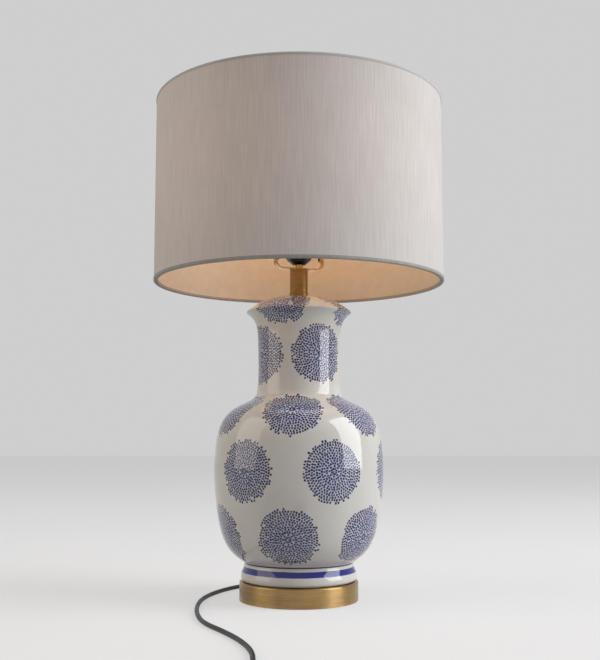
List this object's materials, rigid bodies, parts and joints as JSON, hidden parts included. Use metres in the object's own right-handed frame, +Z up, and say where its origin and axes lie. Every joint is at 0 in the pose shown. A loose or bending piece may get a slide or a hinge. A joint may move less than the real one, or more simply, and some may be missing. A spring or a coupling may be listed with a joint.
{
  "type": "table lamp",
  "caption": "Table lamp with a glazed bottle-shaped jar, dotted blue medallions, brass base and neck, and a white linen drum shade on a harp.",
  "frame": {"origin": "centre of the felt pad's underside, on the surface that the lamp stands on", "axes": "+Z up along the lamp's axis, -Y towards the front of the picture, +X to its right"},
  "size_m": [0.3562, 0.6485, 0.618],
  "materials": {
    "felt": "black felt",
    "board": "brown hardboard",
    "antique_brass": "brushed antique brass",
    "plain_brass": "bright turned brass",
    "steel": "zinc-plated steel",
    "gasket": "black rubber",
    "glazed_ceramic": "warm white glaze with cobalt pattern",
    "black_plastic": "black phenolic",
    "black_shell": "black lacquered shell",
    "liner_card": "insulating card",
    "porcelain": "socket porcelain",
    "nickel": "nickel-plated",
    "bulb_glass": "frosted glass",
    "black_glass": "black insulator",
    "linen": "white linen",
    "linen_trim": "folded linen edge",
    "styrene": "white styrene liner",
    "white_wire": "white coated wire",
    "cord_plastic": "black cord",
    "plug_plastic": "black moulded plug",
    "tie": "black tie"
  },
  "bodies": {
    "lamp": {"felt_pad": "felt", "base_board": "board", "base_cup": "antique_brass", "foot_gasket": "gasket", "ceramic_jar": "glazed_ceramic", "threaded_rod": "plain_brass", "bottom_washer": "steel", "lock_washer": "steel", "bottom_nut": "steel", "seat_washer": "gasket", "neck_tube": "antique_brass", "check_ring": "antique_brass", "harp_saddle": "plain_brass", "harp_wire": "plain_brass", "harp_stud": "plain_brass", "cap_bushing": "plain_brass", "socket_cap": "black_plastic", "set_screw": "steel", "socket_shell": "black_shell", "socket_liner": "liner_card", "socket_body": "porcelain", "screw_shell": "nickel", "centre_contact": "plain_brass", "terminal_screws": "plain_brass", "strain_relief": "cord_plastic", "inner_lead": "cord_plastic", "cord_run": "cord_plastic", "cord_coil": "cord_plastic", "cord_tie": "tie", "plug_body": "plug_plastic", "plug_blades": "plain_brass"},
    "shade": {"shade_fabric": "linen", "shade_liner": "styrene", "shade_bottom_ring": "white_wire", "shade_top_ring": "white_wire", "shade_spider": "white_wire", "shade_bottom_trim": "linen_trim", "shade_top_trim": "linen_trim"},
    "finial": {"finial": "antique_brass"},
    "sleeve_left": {"harp_sleeve_left": "plain_brass"},
    "sleeve_right": {"harp_sleeve_right": "plain_brass"},
    "switch": {"switch_shaft": "steel", "switch_knob": "black_plastic"},
    "bulb": {"bulb_envelope": "bulb_glass", "bulb_screw_base": "nickel", "bulb_insulator": "black_glass", "bulb_contact": "nickel"}
  },
  "joints": [
    {"name": "shade_swivel", "type": "hinge", "parent": "lamp", "child": "shade", "pos_m": [0, 0, 0.5895], "axis": [0, 0, 1], "continuous": true},
    {"name": "finial_turn", "type": "hinge", "parent": "lamp", "child": "finial", "pos_m": [0, 0, 0.595], "axis": [0, 0, 1], "continuous": true},
    {"name": "sleeve_left_slide", "type": "slide", "parent": "lamp", "child": "sleeve_left", "axis": [0, 0, 1], "range_m": [0, 0.009]},
    {"name": "sleeve_right_slide", "type": "slide", "parent": "lamp", "child": "sleeve_right", "axis": [0, 0, 1], "range_m": [0, 0.009]},
    {"name": "switch_turn", "type": "hinge", "parent": "lamp", "child": "switch", "pos_m": [0, 0, 0.4335], "axis": [0.342, -0.9397, 0], "continuous": true},
    {"name": "bulb_turn", "type": "hinge", "parent": "lamp", "child": "bulb", "pos_m": [0, 0, 0.455], "axis": [0, 0, 1], "continuous": true}
  ]
}
